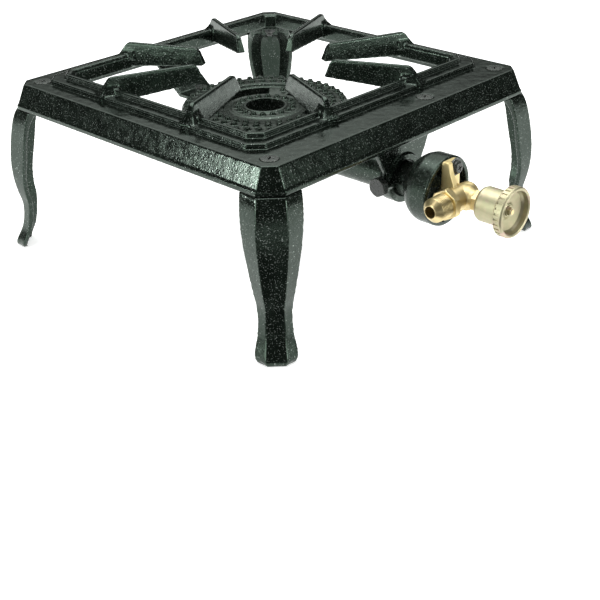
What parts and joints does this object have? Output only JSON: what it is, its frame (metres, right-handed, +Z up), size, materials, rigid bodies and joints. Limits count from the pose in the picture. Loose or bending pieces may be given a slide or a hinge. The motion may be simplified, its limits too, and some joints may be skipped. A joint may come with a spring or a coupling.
{
  "type": "propane burner stand",
  "caption": "Low square cast-iron stand on four curved corner legs, with pot supports round an open middle, a hanging gas burner, and a brass needle valve with a handwheel at the front.",
  "frame": {"origin": "on the floor, under the middle of the whole footprint (feet and handwheel)", "axes": "+Z up; -Y towards the valve and handwheel (front); +X to the right as seen from the front, so the gas inlet points along -X"},
  "size_m": [0.339, 0.4229, 0.1656],
  "materials": {
    "black_cast_iron": "glossy black enamel on a rough casting",
    "black_steel": "black, semi-gloss",
    "brass": "machined, satin",
    "zinc_plated_steel": "yellow zinc plating",
    "seal_rubber": "matte"
  },
  "bodies": {
    "stand": {"bonnet_nut": "brass", "burner_casting": "black_cast_iron", "burner_hanger": "black_cast_iron", "clamp_bolt": "black_steel", "corner_nuts": "black_steel", "corner_screws": "black_steel", "corner_washers": "black_steel", "gas_orifice": "brass", "hanger_nut": "black_steel", "hanger_screw": "black_steel", "inlet_flare_fitting": "brass", "leg_back_left": "black_cast_iron", "leg_back_right": "black_cast_iron", "leg_front_left": "black_cast_iron", "leg_front_right": "black_cast_iron", "rear_strap": "black_cast_iron", "strap_bolt": "black_steel", "strap_bolt_nut": "black_steel", "strap_screw": "black_steel", "strap_screw_nut": "black_steel", "top_frame": "black_cast_iron", "valve_body": "brass", "valve_mount_screw": "black_steel", "valve_mount_washer": "black_steel"},
    "seal_ring": {"stem_seal_ring": "seal_rubber"},
    "handwheel": {"valve_stem": "brass", "handwheel": "zinc_plated_steel", "wheel_washer": "zinc_plated_steel", "wheel_nut": "zinc_plated_steel"}
  },
  "joints": [
    {"name": "stem_travel", "type": "slide", "parent": "stand", "child": "seal_ring", "axis": [0, -1, 0], "range_m": [0, 0.0032]},
    {"name": "handwheel_turn", "type": "hinge", "parent": "seal_ring", "child": "handwheel", "pos_m": [0, -0.2047, 0.0942], "axis": [0, -1, 0], "range_deg": [0, 900]}
  ],
  "couplings": [
    {"joint": "stem_travel", "follows": "handwheel_turn", "m_per_rad": 0.00019894}
  ]
}
